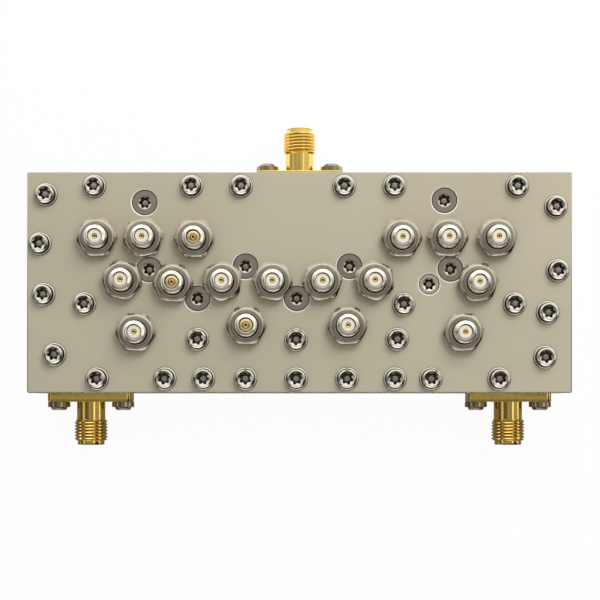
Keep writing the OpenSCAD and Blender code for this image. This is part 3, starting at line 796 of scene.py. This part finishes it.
def flange_form(form, place):
    """A port's flange with soft edges: walls from level to level, and a cap at the back and at the front."""
    bevel = FLANGE_BEVEL
    levels = [(0, 0), (FLANGE_T - bevel, 0), (FLANGE_T - bevel * 0.3, bevel * 0.3), (FLANGE_T, bevel)]
    turn = Euler(place[3]).to_matrix()
    foot = Vector(place[:3])
    caps = {0: [], len(levels) - 1: []}
    for which in range(4):
        last = None
        for k, (height, inset) in enumerate(levels):
            loop = flange_loops(inset)[which]
            verts = [form.verts.new((turn @ Vector((u, v, height)) + foot) * MM) for u, v in loop]
            after = verts[1:] + verts[:1]
            if last:
                below = zip(last, last[1:] + last[:1])
                for (one, two), three, four in zip(below, after, verts):
                    form.faces.new((one, two, three, four))
            if k in caps:
                caps[k] += [form.edges.get(pair) or form.edges.new(pair) for pair in zip(verts, after)]
            last = verts
    for edges in caps.values():
        bmesh.ops.triangle_fill(form, use_beauty=True, edges=edges)


form = bmesh.new()
for port in PORTS:
    flange_form(form, port)
mesh = bpy.data.meshes.new("port_flanges")
form.to_mesh(mesh)
form.free()
mesh.materials.append(flange_gold)
flanges = link_object("port_flanges", mesh)
settle(flanges, mesh)
finish_piece(flanges)


def stepped_profile(size, turn):
    radius = size["Head radius"]
    stem = size["Stem radius"]
    band = size["Band"]
    top = band + size["Dome"]
    bottom = size["Length"] * -1
    shank = [(0.0, bottom), (stem - 0.1, bottom), (stem, bottom + 0.1), (stem, 0.0)]
    head = [
        (radius - 0.1, 0.0), (radius, 0.1), (radius, band - 0.06), (radius - 0.06, band),
        (radius * 0.74, band), (radius * 0.72, band + 0.2), (radius * 0.69, band + 0.36),
        (radius * 0.64, top - 0.08), (radius * 0.57, top),
    ]
    return shank + head + recess_rows(turn, top, 1.14, slope=0.3, outer=1.04, inner=0.74, depth=0.8)


port_screw_places = []
for x, y, z, facing in PORTS:
    side = 1 if y > 0 else -1
    for shift in (-FLANGE_PITCH / 2, FLANGE_PITCH / 2):
        port_screw_places.append((x + shift, y + side * FLANGE_T, z, facing))
turned(
    "flange_screws",
    {"Head radius": 2.1, "Stem radius": 1.09, "Band": 1.0, "Dome": 0.55, "Length": 5.65},
    stepped_profile, port_screw_places, port_screw_steel,
    ["common_port_screws", "low_port_screws", "high_port_screws"], segments=72,
)


# The solids that stay, each with its finish

for names, finish in (
    (["housing"], body_satin),
    (["cover_plate"], cover_satin),
    (["low_band_resonators", "high_band_resonators"], silver),
    (["common_port_insulator", "low_port_insulator", "high_port_insulator"], white_plug),
    (["common_port_contact", "low_port_contact", "high_port_contact"], pin_gold),
    (["common_feed_rod", "common_tap_link", "low_tap_link", "high_tap_link"], copper),
):
    for name in names:
        for slot in nodes[name].material_slots:
            slot.material = finish


# Floor, light and camera

WHITE_VIEW = 1.0
ROOM_LIGHT = 0.54
FLOOR_REACH = 2


def ray_kind(tree, names):
    """1 where the ray is of one of the kinds named."""
    path = add(tree, "ShaderNodeLightPath")
    kinds = [Field(tree, path.outputs[name]) for name in names]
    total = kinds[0]
    for kind in kinds[1:]:
        total = total.math("MAXIMUM", kind)
    return total


def peak(value, middle, steepness):
    """1 where a value is at its middle, and less on both sides."""
    return (1 - (value - middle).math("ABSOLUTE") * steepness).clamp(0.0, 1.0)


# The floor is white to the eye. Metal mirrors it as dark near the block's band side, and bright further off
floor_finish = bpy.data.materials.new("studio_floor")
floor_finish.use_nodes = True
tree = floor_finish.node_tree
tree.nodes.clear()
matt = add(tree, "ShaderNodeBsdfDiffuse", {"Color": (0.92, 0.92, 0.92, 1)})
north = parts_of(tree, add(tree, "ShaderNodeTexCoord").outputs["Object"])[1]
behind = (north * 28 + 0.35).clamp(0.18, 1.3)
before = (north * -32 - 1.5).clamp(0, 1.6)
direct = ray_kind(tree, ["Is Camera Ray", "Is Transmission Ray"])
level = direct * WHITE_VIEW + (1 - direct) * (behind + before)
glow = add(tree, "ShaderNodeEmission", {"Color": (1, 1, 1, 1), "Strength": level})
seen = ray_kind(tree, ["Is Camera Ray", "Is Transmission Ray", "Is Glossy Ray"]) * 0.96
blend = add(tree, "ShaderNodeMixShader", {0: seen, 1: matt.outputs[0], 2: glow.outputs[0]})
add(tree, "ShaderNodeOutputMaterial", {0: blend.outputs[0]})
floor = bpy.data.meshes.new("studio_floor")
floor.from_pydata(
    [(FLOOR_REACH * sx, FLOOR_REACH * sy, 0) for sx, sy in ((-1, -1), (1, -1), (1, 1), (-1, 1))],
    [], [(0, 1, 2, 3)],
)
floor.materials.append(floor_finish)
floor_object = link_object("studio_floor", floor)

world = bpy.data.worlds.new("studio")
bpy.context.scene.world = world
world.use_nodes = True
tree = world.node_tree
tree.nodes.clear()
east, north, up = parts_of(tree, add(tree, "ShaderNodeTexCoord").outputs["Generated"])

# For mirrors: a bright wall behind the common port, a dark room behind the band ports, a grey ceiling, and
# narrow lights on both sides, near the middle and low in the dark room
lift = ((up - 0.1) * 4.0).clamp(0.0, 1.0)
slant = north * 1.5 + east * lift * 0.15 + lift * 0.06 + 0.06
wall = (slant * 1.35 + 0.03).clamp(0.03, 1.38)
west_light = peak(east, -0.8, 6.0) * lift * 0.8
east_light = (east * 25.0 - 23.7).clamp(0.0, 1.0) * (up * 20.0).clamp(0.0, 1.0) * 1.3
across = (1.6 - north.math("ABSOLUTE") * 4.0).clamp(0.0, 1.0)
middle_light = peak(east, 0.55, 6.0) * across * lift * 1.6
south_light = ((up - 0.66) * 8.0).clamp(0.0, 1.0) * (north * -8.0).clamp(0.0, 1.0) * 0.34
low_light = (north * -4.0 - 2.4).clamp(0.0, 1.0) * (peak(up, 0.4, 5.0) * 2.2 + lift * 0.12)
mirror = wall
for light in (west_light, east_light, middle_light, south_light, low_light):
    mirror = mirror.math("MAXIMUM", light)
ceiling = ((up - 0.972) * 60.0).clamp(0.0, 1.0)
mirror = mirror * (1 - ceiling) + ceiling * 0.32
glossy = ray_kind(tree, ["Is Glossy Ray"])
direct = ray_kind(tree, ["Is Camera Ray", "Is Transmission Ray"])
level = (1 - glossy) * ROOM_LIGHT + mirror * glossy
level = level * (1 - direct) + direct * WHITE_VIEW
backdrop = add(tree, "ShaderNodeBackground", {"Color": (1, 1, 1, 1), "Strength": level})
add(tree, "ShaderNodeOutputWorld", {0: backdrop.outputs[0]})

# A window-sized lamp gives the soft shadows. Metal mirrors the walls of the room, and not the lamp itself
lamp = bpy.data.lights.new("window", "AREA")
lamp.shape = "RECTANGLE"
lamp.size = 0.22
lamp.size_y = 0.18
lamp.energy = 0.8
window = link_object("window", lamp)
window.location = (0.12, 0.2, 0.28)
aim = Vector((0, 0, COVER_TOP * MM)) - window.location
window.rotation_euler = aim.to_track_quat("-Z", "Y").to_euler()
window.visible_glossy = False

# The camera looks straight down on the row under it. The cover's width gives the size of a pixel
FRAME = 600
COVER_PIXELS = 545.3
PIXEL = 2 * SIDE_X / COVER_PIXELS * MM
MIDDLE_COLUMN = 299.5
MIDDLE_ROW = 282.5
FOOT_ROW = 400
HEIGHT = 0.25
SENSOR = 36
camera = bpy.data.cameras.new("photo_camera")
camera.sensor_width = SENSOR
camera.lens = SENSOR * HEIGHT / (FRAME * PIXEL)
camera.shift_y = (FOOT_ROW - FRAME / 2) / FRAME
camera.clip_start = 0.01
camera.clip_end = 10
viewer = link_object("photo_camera", camera)
viewer.location = (
    (FRAME / 2 - MIDDLE_COLUMN) * PIXEL, (MIDDLE_ROW - FOOT_ROW) * PIXEL, COVER_TOP * MM + HEIGHT,
)
bpy.context.scene.camera = viewer
bpy.context.scene.view_settings.view_transform = "Standard"
